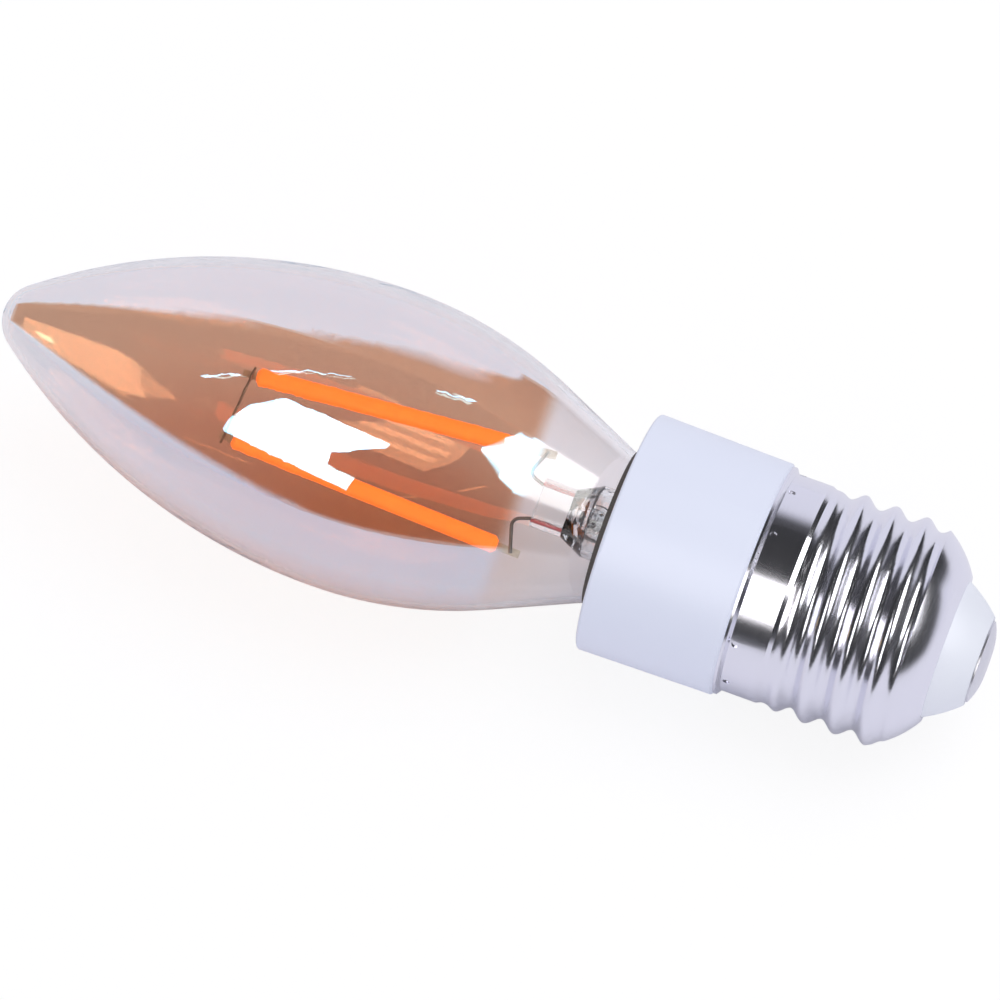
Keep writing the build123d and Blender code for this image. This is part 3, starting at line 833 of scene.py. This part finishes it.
# %% Make the white plastics
collar_white = grained(
    "collar_white",
    {"Specular IOR Level": 0.4},
    0.12,
    ((0.76, 0.79, 0.93), (0.78, 0.81, 0.94)),
    (0.34, 0.42),
    0.06,
)
dress(collar_white, "white_plastic")
insulator_white = grained(
    "insulator_white",
    {"Specular IOR Level": 0.25},
    0.2,
    ((0.80, 0.82, 0.90), (0.83, 0.85, 0.92)),
    (0.38, 0.46),
    0.05,
)
dress(insulator_white, "white_insulator")

# %% [markdown]
# ## Bright nickel
#
# The screw shell is rolled from thin sheet and plated. It mirrors the room clearly, with fine marks
# that run round the axis where the rollers passed. The marks stretch a noise far round and short along.

# %% Make the nickel
marks_round = 6.0
marks_along = 9.0
nickel, nickel_tree, nickel_shader = principled(
    "nickel", {"Metallic": 1.0, "Base Color": (0.80, 0.80, 0.88, 1)}
)
roll_place = add_node(nickel_tree, "ShaderNodeGroup", node_tree=place)
roll_where = add_node(nickel_tree, "ShaderNodeCombineXYZ")
roll_long = add_node(nickel_tree, "ShaderNodeMath", operation="MULTIPLY")
roll_long.inputs[1].default_value = marks_round
roll_short = add_node(nickel_tree, "ShaderNodeMath", operation="MULTIPLY")
roll_short.inputs[1].default_value = marks_along
join(nickel_tree, roll_place.outputs["Turn"], roll_long.inputs[0])
join(nickel_tree, roll_place.outputs["Height"], roll_short.inputs[0])
join(nickel_tree, roll_long.outputs[0], roll_where.inputs["X"])
join(nickel_tree, roll_short.outputs[0], roll_where.inputs["Y"])
print("roller marks:", marks_along, "to a millimetre along,", marks_round, "to a turn")

# %% Roller marks
roll_marks = add_node(nickel_tree, "ShaderNodeTexNoise")
roll_marks.inputs["Scale"].default_value = 1.0
roll_marks.inputs["Detail"].default_value = 3.0
roll_rough = add_node(nickel_tree, "ShaderNodeMapRange")
roll_rough.inputs["To Min"].default_value = 0.13
roll_rough.inputs["To Max"].default_value = 0.25
roll_bump = add_node(nickel_tree, "ShaderNodeBump")
roll_bump.inputs["Strength"].default_value = 0.10
roll_bump.inputs["Distance"].default_value = 0.00002
join(nickel_tree, roll_where.outputs[0], roll_marks.inputs["Vector"])
join(nickel_tree, roll_marks.outputs["Fac"], roll_rough.inputs["Value"])
join(nickel_tree, roll_rough.outputs["Result"], nickel_shader.inputs["Roughness"])
join(nickel_tree, roll_marks.outputs["Fac"], roll_bump.inputs["Height"])
join(nickel_tree, roll_bump.outputs["Normal"], nickel_shader.inputs["Normal"])
dress(nickel, "nickel")

# %% [markdown]
# ## Small metals
#
# The contact is a pressed disc with a duller face. The tabs at the filaments' ends are stamped strip.
# Both are too small for marks of their own, so the grain is enough.

# %% Make the contact and the tabs
contact_metal = grained(
    "contact_metal", {"Metallic": 1.0}, 0.6, ((0.66, 0.66, 0.72), (0.74, 0.74, 0.79)), (0.25, 0.4), 0.05
)
dress(contact_metal, "contact_metal")
tab_metal = grained(
    "tab_metal", {"Metallic": 1.0}, 2.0, ((0.55, 0.52, 0.48), (0.68, 0.65, 0.60)), (0.3, 0.5)
)
dress(tab_metal, "tab_metal")

# %% [markdown]
# ## Cement and driver
#
# The cement shows only as a dark bead round the neck, and the driver is hidden in the collar and the cap.
# The cement's near-black is partly painted shade: besides the cement itself, it stands for the shadow in
# the narrow gap between the glass and the collar. They get the usual finishes of such pieces, for anyone
# who takes the lamp apart. Each is the grain with
# other values: plain settings, size, two colours, the range of roughness and the bump.

# %% Make the finishes inside
inner_finishes = {
    # near-black cement: partly painted shade of the gap between glass and collar
    "cement": ({}, 0.9, ((0.07, 0.06, 0.055), (0.11, 0.095, 0.085)), (0.7, 0.9), 0.4),
    "board": ({}, 0.4, ((0.66, 0.69, 0.62), (0.74, 0.76, 0.70)), (0.35, 0.5), 0.1),
    "capacitor_sleeve": (
        {"Coat Weight": 0.2}, 0.3, ((0.03, 0.03, 0.04), (0.05, 0.05, 0.06)), (0.25, 0.35), 0.05
    ),
    "ferrite": ({}, 1.2, ((0.03, 0.03, 0.03), (0.06, 0.06, 0.06)), (0.6, 0.8), 0.4),
    "copper": ({"Metallic": 1.0}, 0.8, ((0.60, 0.25, 0.11), (0.72, 0.34, 0.16)), (0.25, 0.4), 0.1),
    "black_epoxy": ({}, 0.8, ((0.015, 0.015, 0.015), (0.03, 0.03, 0.03)), (0.5, 0.65), 0.2),
    "resistor_coat": ({}, 0.8, ((0.13, 0.28, 0.20), (0.18, 0.34, 0.25)), (0.45, 0.6), 0.2),
}
for slot, (settings, size, colours, rough, bump) in inner_finishes.items():
    dress(grained(slot, settings, size, colours, rough, bump), slot)
